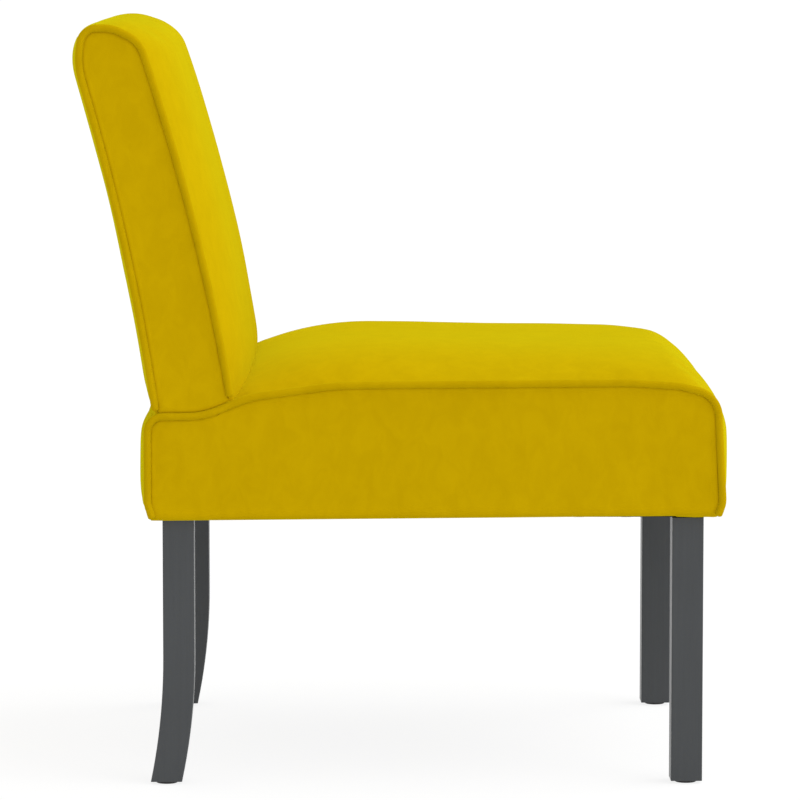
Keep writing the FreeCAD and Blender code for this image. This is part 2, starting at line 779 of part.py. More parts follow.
def dust_cover():
    """Thin black cloth under the seat, with its staples."""
    y_from, y_to = front_rail_y + dust_cover_inset, stile_rear_y - dust_cover_inset
    reach = rail_outer_x - dust_cover_inset
    sheet = block(-reach, reach, y_from, y_to, leg_top, flange_bottom)
    for y in hanger_sites.values():
        point = Vector(hanger_x, y, 0)
        for tool in both_sides(rod(bolt_radius + 1, point, point + Vector(0, 0, rail_top))):
            sheet = sheet.cut(tool)
    keep("dust_cover", sheet)
    staples = []
    half, wire = staple_crown / 2, staple_wire
    corner = 1.5 * leg_section
    for x in spread(corner - reach, reach - corner, staple_pitch):
        for y in (y_from + staple_margin, y_to - staple_margin):
            staples.append(block(x - half, x + half, y - wire, y + wire, leg_top - wire, leg_top))
    for y in spread(y_from + corner, y_to - corner, staple_pitch):
        for x in (reach - staple_margin, staple_margin - reach):
            staples.append(block(x - wire, x + wire, y - half, y + half, leg_top - wire, leg_top))
    keep("dust_cover_staples", staples)


seat_frame()
keep("rail_screws", rail_screws())
corner_blocks()
leg_fixings()
legs()
back_posts()
post_bolts()
back_board()
seat_webbing()
platform_cloth()
back_webbing()
seat_upholstery()
back_upholstery()
dust_cover()

# The origin is the middle of the overall outline on the floor.
points = [point for solids in nodes.values() for solid in solids for point in solid.tessellate(0.2)[0]]
middle_y = (min(point.y for point in points) + max(point.y for point in points)) / 2
for name, solids in nodes.items():
    shape = Part.makeCompound(solids)
    shape.translate(Vector(0, -middle_y, 0))
    shape.exportStep("parts/" + name + ".step")
print("pieces", len(nodes), "moved along y by", round(-middle_y, 3))
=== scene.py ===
import bpy
import numpy as np
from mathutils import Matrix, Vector


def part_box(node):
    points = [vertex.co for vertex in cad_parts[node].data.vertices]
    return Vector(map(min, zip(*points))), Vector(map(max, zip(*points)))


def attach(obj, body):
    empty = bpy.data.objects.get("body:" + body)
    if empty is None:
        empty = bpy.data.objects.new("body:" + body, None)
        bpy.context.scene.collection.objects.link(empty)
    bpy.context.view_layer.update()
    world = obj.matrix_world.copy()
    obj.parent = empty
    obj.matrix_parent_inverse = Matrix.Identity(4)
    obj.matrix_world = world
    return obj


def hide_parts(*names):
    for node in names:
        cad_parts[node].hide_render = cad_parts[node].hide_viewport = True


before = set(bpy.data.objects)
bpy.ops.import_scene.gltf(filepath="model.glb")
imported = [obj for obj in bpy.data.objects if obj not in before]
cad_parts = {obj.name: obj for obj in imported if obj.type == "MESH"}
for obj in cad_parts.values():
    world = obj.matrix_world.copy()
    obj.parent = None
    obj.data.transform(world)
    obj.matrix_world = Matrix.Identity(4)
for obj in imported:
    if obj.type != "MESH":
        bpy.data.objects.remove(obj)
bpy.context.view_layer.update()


# Frame of the seat and the back: planed softwood rails, two bent posts halved over the side rails,
# and glued corner blocks. It is screwed together and left bare, because the upholstery hides it.
class Field:
    """A value that changes over a surface, held as one output socket of a material's tree."""

    def __init__(self, tree, socket):
        self.tree = tree
        self.socket = socket

    def node(self, kind, settings, inputs, output=0):
        """Any node: its settings are set first, then a value or a link for each input."""
        made = self.tree.nodes.new(kind)
        for key, value in settings.items():
            setattr(made, key, value)
        for key, value in inputs.items():
            if isinstance(value, Field):
                self.tree.links.new(value.socket, made.inputs[key])
            else:
                made.inputs[key].default_value = value
        return Field(self.tree, made.outputs[output])

    def math(self, operation, first, second=0.0):
        return self.node("ShaderNodeMath", {"operation": operation}, {0: first, 1: second})

    def __add__(self, other):
        return self.math("ADD", self, other)

    def __sub__(self, other):
        return self.math("SUBTRACT", self, other)

    def __rsub__(self, other):
        return self.math("SUBTRACT", other, self)

    def __mul__(self, other):
        return self.math("MULTIPLY", self, other)

    __radd__ = __add__
    __rmul__ = __mul__

    def clamped(self):
        return self.math("MINIMUM", self.math("MAXIMUM", self, 0.0), 1.0)

    def stretched(self, factors):
        """A place with each of its coordinates multiplied by its own factor."""
        return self.node("ShaderNodeVectorMath", {"operation": "MULTIPLY"}, {0: self, 1: factors})

    def noise(self, scale, detail=2.0, roughness=0.5, distortion=0.0):
        inputs = {"Vector": self, "Scale": scale, "Detail": detail}
        inputs.update({"Roughness": roughness, "Distortion": distortion})
        return self.node("ShaderNodeTexNoise", {}, inputs)

    def between(self, low, high):
        """This field brought from the span low..high to 0..1, with soft ends."""
        settings = {"interpolation_type": "SMOOTHSTEP"}
        inputs = {"Value": self, "From Min": low, "From Max": high}
        return self.node("ShaderNodeMapRange", settings, inputs)

    def mix(self, first, second):
        """First colour where this field is 0, second colour where it is 1."""
        return self.node("ShaderNodeMix", {"data_type": "RGBA"}, {0: self, 6: first, 7: second}, 2)


def new_finish(name, **constants):
    """A material with one shader, its plain values, and the place on the surface in metres."""
    made = bpy.data.materials.new(name)
    made.use_nodes = True
    shader = made.node_tree.nodes["Principled BSDF"]
    for socket, value in constants.items():
        shader.inputs[socket.replace("_", " ")].default_value = value
    place = made.node_tree.nodes.new("ShaderNodeTexCoord")
    return made, shader, Field(made.node_tree, place.outputs["Object"])


def lay_on(shader, colour, roughness, relief, depth):
    """Link a finish's colour, roughness and relief; depth is the relief's height in metres."""
    tree = colour.tree
    bump = relief.node("ShaderNodeBump", {}, {"Strength": 1.0, "Distance": depth, "Height": relief})
    tree.links.new(colour.socket, shader.inputs["Base Color"])
    tree.links.new(roughness.socket, shader.inputs["Roughness"])
    tree.links.new(bump.socket, shader.inputs["Normal"])


def softwood(name, along):
    """Pale wood: growth lines and fibres are noise drawn out along the grain's axis."""
    made, shader, place = new_finish(name, Specular_IOR_Level=0.3)
    lines = place.stretched([1.2 if axis == along else 60.0 for axis in "XYZ"]).noise(1.0, 4.0, 0.6)
    fibres = place.stretched([18.0 if axis == along else 900.0 for axis in "XYZ"]).noise(1.0)
    tone = (lines * 0.75 + fibres * 0.25).between(0.3, 0.7)
    colour = tone.mix((0.36, 0.2, 0.09, 1), (0.62, 0.42, 0.22, 1))
    lay_on(shader, colour, 0.75 - 0.15 * lines, fibres, 0.0002)
    return made


def dress(finish, names):
    """Give carried-over pieces their finish, in place of their own materials."""
    for name in names:
        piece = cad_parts[name]
        piece.data.materials.clear()
        piece.data.materials.append(finish)


cross_rails = ["seat_rail_front", "seat_rail_rear", "seat_corner_blocks"]
cross_rails += ["back_rail_lower", "back_rail_middle", "back_rail_top"]
dress(softwood("softwood_across", "X"), cross_rails)
dress(softwood("softwood_side", "Y"), ["seat_rail_left", "seat_rail_right"])
dress(softwood("softwood_post", "Z"), ["back_post_left", "back_post_right"])


# Board behind the back frame: brown pressed fibreboard, smooth in front and meshed behind,
# nailed over the posts to carry the rear padding.
def fibreboard():
    """Brown board: fine fleck over a slow change of tone."""
    made, shader, place = new_finish("fibreboard", Specular_IOR_Level=0.3)
    fleck = place.noise(1400.0, 3.0)
    tone = (place.noise(25.0) * 0.4 + fleck * 0.6).between(0.3, 0.7)
    colour = tone.mix((0.16, 0.085, 0.035, 1), (0.34, 0.2, 0.1, 1))
    lay_on(shader, colour, 0.8 - 0.2 * fleck, fleck, 0.0001)
    return made


dress(fibreboard(), ["back_board"])


# Straps and the cloth over them: elastic webbing, woven in ribs, and a thin black non-woven cloth.
# They are stapled to the rails and posts and carry the foam.
def webbing():
    """Black strap: a wave across the strap for the ribs, crossed by a finer one."""
    made, shader, place = new_finish("webbing", Specular_IOR_Level=0.2)
    wave = {"wave_type": "BANDS", "bands_direction": "DIAGONAL"}
    rib_inputs = {"Vector": place, "Scale": 160.0, "Distortion": 0.6}
    ribs = place.node("ShaderNodeTexWave", wave, rib_inputs, 1)
    tone = (ribs * 0.6 + place.noise(700.0) * 0.4).between(0.2, 0.8)
    colour = tone.mix((0.012, 0.012, 0.013, 1), (0.05, 0.05, 0.053, 1))
    lay_on(shader, colour, 0.9 - 0.2 * ribs, ribs, 0.0004)
    return made


def black_cloth():
    """Thin felted cloth: pressed dots in rows over random fibres."""
    made, shader, place = new_finish("black_cloth", Specular_IOR_Level=0.15)
    dot_inputs = {"Vector": place, "Scale": 420.0, "Randomness": 0.25}
    dots = place.node("ShaderNodeTexVoronoi", {"feature": "F1"}, dot_inputs)
    pressed = dots.between(0.15, 0.45)
    tone = (pressed * 0.5 + place.noise(300.0, 4.0) * 0.5).between(0.2, 0.8)
    colour = tone.mix((0.008, 0.008, 0.008, 1), (0.03, 0.03, 0.031, 1))
    lay_on(shader, colour, 0.95 - 0.15 * pressed, pressed, 0.00015)
    return made


felt = black_cloth()
dress(webbing(), ["seat_webbing_long", "seat_webbing_cross", "back_webbing"])
dress(felt, ["seat_platform_cloth"])


# Fixings: zinc-plated screws, bolts, washers, nuts, inserts, nails and staples. They hold the frame,
# the posts, the legs, the glides and the cloths.
def zinc():
    """Plated steel: bluish grey with small cloudy stains and fine turning marks."""
    made, shader, place = new_finish("zinc_plating", Metallic=1.0)
    cloud = place.noise(220.0, 3.0).between(0.3, 0.7)
    marks = place.stretched((300.0, 300.0, 4000.0)).noise(1.0)
    colour = cloud.mix((0.42, 0.43, 0.44, 1), (0.62, 0.62, 0.6, 1))
    lay_on(shader, colour, 0.42 - 0.15 * cloud, marks, 0.00003)
    return made


fixings = ["rail_screws", "post_bolts", "post_bolt_washers", "post_bolt_nuts", "leg_hanger_bolts"]
fixings += ["leg_insert_nuts", "glide_nails", "seat_webbing_staples", "back_webbing_staples"]
dress(zinc(), fixings + ["dust_cover_staples"])


# Legs: square hardwood legs with eased edges, the rear pair swept back at the foot. They are sprayed
# with dark satin lacquer that lets a little grain show, and screw up into the frame.
def edge_highlight_mask(place, width):
    """Mask of a piece's sharp edges: how far a normal rounded over width departs from the real one."""
    rounded = place.node("ShaderNodeBevel", {"samples": 6}, {"Radius": width})
    real = place.node("ShaderNodeNewGeometry", {}, {}, 3)
    same = rounded.node("ShaderNodeVectorMath", {"operation": "DOT_PRODUCT"}, {0: rounded, 1: real}, 1)
    return (1.0 - same).between(0.02, 0.25)


def leg_lacquer():
    """Dark satin coat: a faint long grain, and a painted highlight that makes the edges slightly
    paler.
    """
    made, shader, place = new_finish("leg_lacquer", Specular_IOR_Level=0.4)
    shader.inputs["Coat Weight"].default_value = 0.25
    shader.inputs["Coat Roughness"].default_value = 0.3
    grain = place.stretched((260.0, 260.0, 9.0)).noise(1.0, 4.0, 0.6)
    pores = place.stretched((1500.0, 1500.0, 60.0)).noise(1.0).between(0.55, 0.75)
    cloud = place.noise(16.0, 2.0)
    tone = (grain * 0.6 + cloud * 0.4).between(0.3, 0.7)
    wood = tone.mix((0.035, 0.0388, 0.042, 1), (0.04, 0.0442, 0.0478, 1))
    # Painted highlight: the edges go 40% of the way to a paler grey, standing for light on the eased
    # edges.
    colour = (edge_highlight_mask(place, 0.0012) * 0.4).mix(wood, (0.066, 0.068, 0.069, 1))
    lay_on(shader, colour, 0.45 + 0.12 * pores, 0.7 * grain - 0.5 * pores, 0.00008)
    return made


leg_names = ["leg_front_left", "leg_front_right", "leg_rear_left", "leg_rear_right"]
dress(leg_lacquer(), leg_names)


# Glides: round feet of moulded dark plastic that keep the legs off the floor. One is nailed under
# each leg, and its rim is scuffed.
def glide_plastic():
    """Matt dark plastic: fine moulded grain, greyer where the floor rubs it."""
    made, shader, place = new_finish("glide_plastic", Specular_IOR_Level=0.4)
    grain = place.noise(1800.0, 2.0)
    scuff = place.noise(160.0, 3.0).between(0.5, 0.75)
    colour = scuff.mix((0.035, 0.035, 0.036, 1), (0.07, 0.07, 0.07, 1))
    lay_on(shader, colour, 0.5 + 0.2 * scuff, grain, 0.00006)
    return made


glide_names = ["glide_front_left", "glide_front_right", "glide_rear_left", "glide_rear_right"]
dress(glide_plastic(), glide_names)


# Seat cover strip: one width of velvet that runs from under the rear, up, over the foam and down the
# front. It is sewn to the side panels with piping between, pulled down and stapled under the rails.
# Sizes are in mm; the seat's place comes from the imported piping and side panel.
MM = 0.001
piping_width = 7.5
seat_length = 567.0
rear_height = 94.8
half_width = 262.0
cover_rise = 4.0
seam_depth = 5.0
edge_roll = 7.0
crown_power = 4.0
strip_fullness = 0.9
strip_step = 3.2
gather_depth = 0.22
seat_swell = 3.0
seat_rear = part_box("seat_welt_right")[1].y / MM - piping_width
seat_front = seat_rear - seat_length
seat_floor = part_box("seat_side_panel_right")[0].z / MM + cover_rise
seat_step = seat_floor + rear_height

# Corners of the seam: y, z, radius, then how far the corner moves in y and z, and how much rounder
# it gets, at the middle of the width.
seat_seam = np.array([
    (seat_rear, seat_floor, 4, 12, 0, 0),
    (seat_rear, seat_step, 12, 9.5, 0, 6),
    (seat_rear - 53, seat_step + 0.4, 85, 2, 3, 0),
    (seat_rear - 99, seat_step + 19.5, 110, 8, 16, 20),
    (seat_rear - 187, seat_step + 31.4, 350, 24, 34, -70),
    (seat_front + 88, seat_step + 33.6, 250, -2, 25.5, 0),
    (seat_front + 40, seat_step + 30.2, 47, -6, 21.5, 0),
    (seat_front + 5.2, seat_step + 21.4, 24, -19, -7, 60),
    (seat_front, seat_floor, 5, -10.5, 0, 3),
])
flange_reach = 42.0
seat_under_rear = (seat_rear - flange_reach, seat_floor, 0, 0, 0, 0)
seat_under_front = (seat_front + flange_reach, seat_floor, 0, 0, 0, 0)


def outline(seam, grow, crown, step=4.0):
    """Seam lines as (columns, samples, 2) points in y and z.

    Each column is a polygon whose corners have moved by its share of the crown and whose sides have
    moved outwards by its growth. Every inner corner becomes an arc tangent to both sides, at most
    as large as they allow; lines and arcs are sampled about one step apart, alike in all columns.
    """
    grow = np.broadcast_to(np.asarray(grow, float), np.shape(crown))[:, None]
    crown = np.asarray(crown, float)[:, None]
    corner = seam[None, :, :2] + crown[:, :, None] * seam[None, :, 3:5]
    side = np.diff(corner, axis=1)
    along = side / np.linalg.norm(side, axis=2, keepdims=True)
    out = np.stack([along[:, :, 1], -along[:, :, 0]], 2)
    before, after = out[:, :-1], out[:, 1:]
    dot = (before * after).sum(2, keepdims=True)
    inner = corner[:, 1:-1] + grow[:, :, None] * (before + after) / (1 + dot)
    first = corner[:, :1] + grow[:, :, None] * out[:, :1]
    last = corner[:, -1:] + grow[:, :, None] * out[:, -1:]
    corner = np.concatenate([first, inner, last], 1)
    a, b = along[:, :-1], along[:, 1:]
    turn = np.arctan2(a[..., 0] * b[..., 1] - a[..., 1] * b[..., 0], (a * b).sum(2))
    radius = seam[None, 1:-1, 2] + crown * seam[None, 1:-1, 5] + np.sign(turn) * grow
    half = np.maximum(np.abs(turn) / 2, 1e-4)
    cut = np.maximum(radius, 1.0) * np.tan(half)
    cut = np.pad(cut, ((0, 0), (1, 1)))
    length = np.linalg.norm(np.diff(corner, axis=1), axis=2)
    most_of_side = 0.96
    for i in range(len(seam) - 1):
        room = most_of_side * length[:, i] / np.maximum(cut[:, i] + cut[:, i + 1], 1e-6)
        cut[:, i:i + 2] *= np.minimum(room, 1.0)[:, None]
    pieces = []
    for i in range(len(seam) - 1):
        start = corner[:, i] + along[:, i] * cut[:, i, None]
        end = corner[:, i + 1] - along[:, i] * cut[:, i + 1, None]
        count = max(2, int(np.ceil(np.linalg.norm(end - start, axis=1).mean() / step)))
        t = np.linspace(0, 1, count, endpoint=False)[None, :, None]
        pieces.append(start[:, None] * (1 - t) + end[:, None] * t)
        if i == len(seam) - 2:
            pieces.append(end[:, None])
            break
        bend = turn[:, i, None]
        round_radius = (cut[:, i + 1] / np.tan(half[:, i]))[:, None]
        count = max(6, int(np.ceil((round_radius * np.abs(bend)).mean() / step)))
        angle = np.abs(bend) * np.linspace(0, 1, count, endpoint=False)[None]
        inward = -out[:, i, None] * np.sign(bend)[:, :, None]
        ahead = along[:, i, None] * (round_radius * np.sin(angle))[:, :, None]
        aside = inward * (round_radius * (1 - np.cos(angle)))[:, :, None]
        pieces.append(end[:, None] + ahead + aside)
    return np.concatenate(pieces, 1)


def columns(reach, finest=1.0, growth=1.25, widest=5.0, edge_band=24.0):
    """Places across the width in mm: cells grow by a factor from both edges, then stay even."""
    inset = [0.0]
    cell = finest
    while inset[-1] < edge_band:
        inset.append(inset[-1] + cell)
        cell = min(cell * growth, widest)
    middle = reach - inset[-1]
    inside = np.linspace(-middle, middle, 2 * int(middle / widest) + 1)
    edge = reach - np.array(inset[:-1])
    return np.concatenate([-edge, inside, edge[::-1]])


def crowned_strip(seam, x):
    """Strip of cloth round an outline: (samples along, columns across, 3) points in mm.

    The outline swells with the fullness times 1 - |x / half width|^power. Over the last few
    millimetres beside the piping the cloth rolls down a quarter ellipse into the seam.
    """
    edge = half_width + 1.0 - np.abs(x)
    fall = 1 - np.clip(edge / edge_roll, 0, 1)
    grow = cover_rise - seam_depth * (1 - np.sqrt(1 - fall**2))
    crown = strip_fullness * (1 - np.minimum(np.abs(x) / half_width, 1.0) ** crown_power)
    yz = outline(seam, grow, crown, strip_step).transpose(1, 0, 2)
    return np.concatenate([np.broadcast_to(x[None, :, None], yz.shape[:2] + (1,)), yz], 2)


def unevenness(count, seed, width=9):
    """Seeded noise about zero along a line, smoothed over a few samples."""
    noise = np.random.default_rng(seed).normal(size=count + width - 1)
    window = np.hanning(width + 2)[1:-1]
    return np.convolve(noise, window / np.sqrt((window**2).sum()), "valid")


def gathered(points, seed, width=6.0):
    """Strip with small uneven dips beside both seams, where the cloth is eased on to the piping.

    Each point moves along the outline's normal by the seam's noise, which fades away from the edge
    roll as a bell curve of the given width.
    """
    along = np.gradient(points[:, :, 1:], axis=0)
    along /= np.linalg.norm(along, axis=2, keepdims=True)
    out = np.stack([along[:, :, 1], -along[:, :, 0]], 2)
    across = points[:1, :, 0]
    edge = half_width - np.abs(across)
    fade = gather_depth * np.exp(-((edge - edge_roll) / width) ** 2)
    right, left = (unevenness(len(points), seed + i)[:, None] for i in range(2))
    moved = points.copy()
    moved[:, :, 1:] += out * (fade * np.where(across < 0, right, left))[:, :, None]
    return moved


def cloth_piece(name, points, thickness=2.0, tube=False):
    """Mesh of a grid of points in mm, as a shell of one thickness or as a tube closed all round.

    Quads run along, then across, so their faces point outwards; a tube's last column joins its
    first, and one face closes each end.
    """
    rows, cols = points.shape[:2]
    index = np.arange(rows * cols).reshape(rows, cols)
    if tube:
        index = np.concatenate([index, index[:, :1]], 1)
    corners = [index[:-1, :-1], index[1:, :-1], index[1:, 1:], index[:-1, 1:]]
    faces = np.stack(corners, 2).reshape(-1, 4).tolist()
    if tube:
        faces += [index[0, :-1].tolist(), index[-1, -2::-1].tolist()]
    mesh = bpy.data.meshes.new(name)
    mesh.from_pydata((points.reshape(-1, 3) * MM).tolist(), [], faces)
    mesh.polygons.foreach_set("use_smooth", np.ones(len(faces), bool))
    mesh.update()
    piece = bpy.data.objects.new(name, mesh)
    bpy.context.scene.collection.objects.link(piece)
    if thickness:
        shell = piece.modifiers.new("cloth_thickness", "SOLIDIFY")
        shell.thickness = thickness * MM
        shell.offset = -1.0
    return piece


def spread(field, known, size):
    """Rows of a field known at some places, filled in linearly to every place from 0 to size."""
    at = np.arange(size)
    low = np.clip(np.searchsorted(known, at, "right") - 1, 0, len(known) - 2)
    share = ((at - known[low]) / (known[low + 1] - known[low])).reshape(-1, 1, 1)
    return field[low] * (1 - share) + field[low + 1] * share


def over_filling(points, held, swell, seed, pressure=4.0, ease=0.006, steps=20, uneven=0.1):
    """Cloth drawn over its filling, by simulation, so that it swells between its seams.

    Every second row and column of the grid becomes a trial cloth, cut with a little ease. Its held
    points stay and a pressure blows the rest outwards for some steps. The movement is spread over
    the whole grid and smoothed six times with its neighbours. No point moves further than about
    swell, by a hyperbolic tangent; that limit is uneven, as real wadding is.
    """
    rows, cols = (np.unique(np.append(np.arange(0, size, 2), size - 1)) for size in points.shape[:2])
    chosen = np.ix_(rows, cols)
    trial = cloth_piece("trial_cloth", points[chosen], thickness=0)
    pins = trial.vertex_groups.new(name="held")
    pins.add(np.flatnonzero(held[chosen]).tolist(), 1.0, "REPLACE")
    cloth = trial.modifiers.new("cloth", "CLOTH")
    cloth.settings.quality = 5
    cloth.settings.vertex_group_mass = "held"
    cloth.settings.effector_weights.gravity = 0.0
    cloth.settings.use_pressure = True
    cloth.settings.uniform_pressure_force = pressure
    cloth.settings.shrink_min = -ease
    cloth.point_cache.frame_start = 1
    cloth.point_cache.frame_end = steps
    for step in range(1, steps + 1):
        bpy.context.scene.frame_set(step)
    blown = trial.evaluated_get(bpy.context.evaluated_depsgraph_get()).data
    place = np.empty(len(rows) * len(cols) * 3, np.float32)
    blown.vertices.foreach_get("co", place)
    move = place.reshape(len(rows), len(cols), 3) / MM - points[chosen]
    trial_mesh = trial.data
    bpy.data.objects.remove(trial)
    bpy.data.meshes.remove(trial_mesh)
    bpy.context.scene.frame_set(1)
    move = spread(move, rows, points.shape[0])
    move = spread(move.transpose(1, 0, 2), cols, points.shape[1]).transpose(1, 0, 2)
    for _ in range(6):
        move[1:-1] = (move[:-2] + 2 * move[1:-1] + move[2:]) / 4
        move[:, 1:-1] = (move[:, :-2] + 2 * move[:, 1:-1] + move[:, 2:]) / 4
    along, across = (unevenness(size, seed + i, 41) for i, size in enumerate(points.shape[:2]))
    limit = swell * (1 + uneven * (along[:, None] + across[None, :]))[:, :, None]
    length = np.maximum(np.linalg.norm(move, axis=2, keepdims=True), 1e-6)
    return points + np.where(held[:, :, None], 0, move * np.tanh(length / limit) * limit / length)


def velvet(name, depth=1.0):
    """Mustard velvet: wisps where the pile lies another way, over a short dense pile.

    depth darkens the colour: partly as the pile opens over a tight bend, partly as painted shade.
    """
    made, shader, place = new_finish(name, Specular_IOR_Level=0.0, Sheen_Weight=0.5)
    shader.inputs["Sheen Roughness"].default_value = 0.4
    shader.inputs["Sheen Tint"].default_value = (0.86, 1.0, 0.015, 1)
    bent = place.noise(9.0, 2.0).mix((-0.012, 0.01, -0.006, 1), (0.012, -0.008, 0.01, 1))
    combed = place.node("ShaderNodeVectorMath", {"operation": "ADD"}, {0: place, 1: bent})
    wisps = combed.stretched((1.0, 1.0, 0.6)).noise(58.0, 5.0, 0.62, 0.7).between(0.3, 0.7)
    patches = place.noise(14.0, 3.0, 0.55).between(0.3, 0.7)
    pile = place.noise(1500.0, 2.0)
    brushed = wisps * 0.5 + patches * 0.25 + pile * 0.25
    # Both colours are scaled by depth; below 1, as on the piping, this is partly painted shade.
    dark = [depth * part for part in (0.492, 0.312, 0.0004)] + [1]
    light = [depth * part for part in (0.556, 0.36, 0.0008)] + [1]
    lay_on(shader, brushed.mix(dark, light), 0.95 - 0.12 * brushed, pile * 0.6 + wisps * 0.4, 0.00016)
    return made


def upholster(piece, replaced, finish):
    """Finish of a piece of the cover, and what it stands for."""
    piece.data.materials.append(finish)
    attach(piece, "root")
    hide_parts(*replaced)


flat_velvet = velvet("velvet")
across = columns(half_width + 1.0)
near_seam = np.abs(across)[None, :] > half_width - edge_roll
seat_rows = np.vstack([seat_under_rear, seat_seam, seat_under_front])
seat_points = crowned_strip(seat_rows, across)
below = seat_points[:, :, 2] < seat_floor
seat_points = over_filling(gathered(seat_points, 3), near_seam | below, seat_swell, 11)
upholster(cloth_piece("seat_cover", seat_points), ["seat_cover_strip", "seat_foam"], flat_velvet)


# Seat side panels: velvet over a thin pad. Each is sewn to the strip along the rear, the top and the
# front, and its lower edge is pulled round the side rail and stapled beneath.
panel_edge = 262.6
panel_grow = 0.4
panel_dome = 3.6
panel_swell = 2.6
dome_reach = 20.0
bottom_roll = 6.0
bottom_drop = 2.5
bottom_slope = 0.008
slope_band = 40.0
flat_band = 30.0
bottom_lift = 0.55
held_band = 3.0
turned_under = 20.0


def crowded(count):
    """Shares from 0 to 1 that are closer at both ends: part even steps, part half a cosine wave."""
    even = np.linspace(0, 1, count)
    return 0.45 * even + 0.55 * (0.5 - 0.5 * np.cos(np.pi * even))


def length_along(line):
    """Distance from the start of a line of points to each of them."""
    return np.pad(np.linalg.norm(np.diff(line, axis=0), axis=1).cumsum(), (1, 0))


def points_at(line, run, at):
    """Points of a line at given distances along it, straight between its own points."""
    return np.stack([np.interp(at, run, line[:, 0]), np.interp(at, run, line[:, 1])], 1)


def sampled(line, share):
    """Points of a line at given shares of its whole length."""
    run = length_along(line)
    return points_at(line, run, share.reshape(-1) * run[-1])


def patch(rear, top, front, bottom, rows, cols):
    """Coons patch of four border lines: (rows, cols, 2) points.

    rear and front run upwards, bottom and top run forwards. A point is the two straight blends
    between facing borders less the blend of the four corners.
    """
    a = crowded(cols)[None, :, None]
    b = crowded(rows)[:, None, None]
    low, high = sampled(bottom, a)[None], sampled(top, a)[None]
    back, ahead = sampled(rear, b)[:, None], sampled(front, b)[:, None]
    corners = (1 - b) * ((1 - a) * bottom[0] + a * bottom[-1]) + b * ((1 - a) * top[0] + a * top[-1])
    return (1 - b) * low + b * high + (1 - a) * back + a * ahead - corners


def distance_to(line, points):
    """Shortest distance of each point of a grid to a line given by close points."""
    flat = points.reshape(-1, 2)
    gap = np.linalg.norm(flat[:, None] - line[None], axis=2).min(1)
    return gap.reshape(points.shape[:2])


def crossing(line, other):
    """Index of the point of one line that comes nearest to the points of another."""
    return np.linalg.norm(line[:, None] - other[None], axis=2).min(1).argmin()


def dome(gap, reach):
    """Quarter ellipse: 0 at the seam, 1 from one reach inwards."""
    return np.sqrt(1 - (1 - np.clip(gap / reach, 0, 1)) ** 2)


def both_panels(name, points, replaced):
    """The sitter's right panel as given at -X and its mirrored twin at +X, its columns reversed."""
    mirrored = points[:, ::-1] * np.array([-1.0, 1.0, 1.0])
    for side, placed in (("right", points), ("left", mirrored)):
        piece = cloth_piece(name + "_" + side, placed)
        upholster(piece, [part + "_" + side for part in replaced], flat_velvet)


# The face: a patch between the seams, domed towards its middle and flatter at its lower edge.
border = outline(seat_seam, [panel_grow], [0.0], step=3.0)[0]
rear_top = crossing(border, seat_seam[1:2, :2])
front_top = crossing(border, seat_seam[7:8, :2])
panel_bottom = np.array([border[0], border[-1]])
rear_side, front_side = border[:rear_top + 1], border[:front_top - 1:-1]
face = patch(rear_side, border[rear_top:front_top + 1], front_side, panel_bottom, rows=46, cols=150)
lift = dome(distance_to(border, face), dome_reach)
from_bottom = face[:, :, 1] - seat_floor
slope = bottom_slope * ((seat_rear + seat_front) / 2 - face[:, :, 0])
face[:, :, 1] += np.clip(1 - from_bottom / slope_band, 0, 1) * (bottom_roll - bottom_drop + slope)
lift *= bottom_lift + (1 - bottom_lift) * np.clip(from_bottom / flat_band, 0, 1) ** 0.5
face_x = -(panel_edge + panel_dome * lift)
face_points = np.concatenate([face_x[:, :, None], face], 2)

# The lower edge: a quarter circle round the rail, then a strip turned under it.
angle = np.linspace(0, np.pi / 2, 7)[:-1, None]
edge_row = face_points[:1]
roll_x = edge_row[:, :, 0] + bottom_roll * (1 - np.sin(angle))
roll_z = edge_row[:, :, 2] - bottom_roll * np.cos(angle)
roll = np.stack([roll_x, np.broadcast_to(edge_row[:, :, 1], roll_x.shape), roll_z], 2)
under_x = roll_x[:1] + np.linspace(turned_under, 3.0, 6)[:, None]
under_y = np.broadcast_to(roll[:1, :, 1], under_x.shape)
under = np.stack([under_x, under_y, np.broadcast_to(roll_z[:1], under_x.shape)], 2)
panel_points = np.concatenate([under, roll, face_points])
held = np.ones(panel_points.shape[:2], bool)
held[len(under) + len(roll):] = distance_to(border, face) < held_band
panel_points = over_filling(panel_points, held, panel_swell, 21)
both_panels("seat_side", panel_points, ["seat_side_panel", "seat_side_pad"])


# Seat piping: a cotton cord in a bias strip of the same velvet, sewn into the seam between strip and
# panel. Its ends lean in under the corners of the seat box.
welt_radius = piping_width / 2
welt_x = 266.0
welt_turn = 4.5
welt_straight = 12.0
welt_bend = 18.0
rear_foot_drop = 3.5
front_foot_drop = 1.0


def piping(name, path_points, radius=welt_radius, cap_share=0.8, tip=0.02, uneven=0.012):
    """Tube along a line in the plane at welt_x, closed with a round cap at each end.

    A point is the line's point plus the radius times the cosine along the outward normal and the
    sine across the chair. Towards each end the radius falls on a quarter circle to a small tip, and
    along the tube it is slightly uneven, as a sewn cord is.
    """
    line = path_points[:, 1:]
    along = np.gradient(line, axis=0)
    along /= np.linalg.norm(along, axis=1, keepdims=True)
    out = np.stack([along[:, 1], -along[:, 0]], 1)
    run = length_along(line)
    to_end = np.minimum(run, run[-1] - run)
    fall = 1 - np.clip(to_end / (cap_share * radius), 0, 1)
    size = radius * np.maximum(np.sqrt(1 - fall**2), tip)
    size *= 1 + uneven * unevenness(len(line), 7, 5)
    theta = np.linspace(0, 2 * np.pi, 20, endpoint=False)
    centre = path_points[:, None, :]
    normal = np.concatenate([np.zeros((len(line), 1)), out], 1)[:, None, :]
    sideways = np.array([1.0, 0, 0]) * np.sin(theta)[None, :, None]
    ring = normal * np.cos(theta)[None, :, None] + sideways
    return cloth_piece(name, centre + ring * size[:, None, None], thickness=0, tube=True)


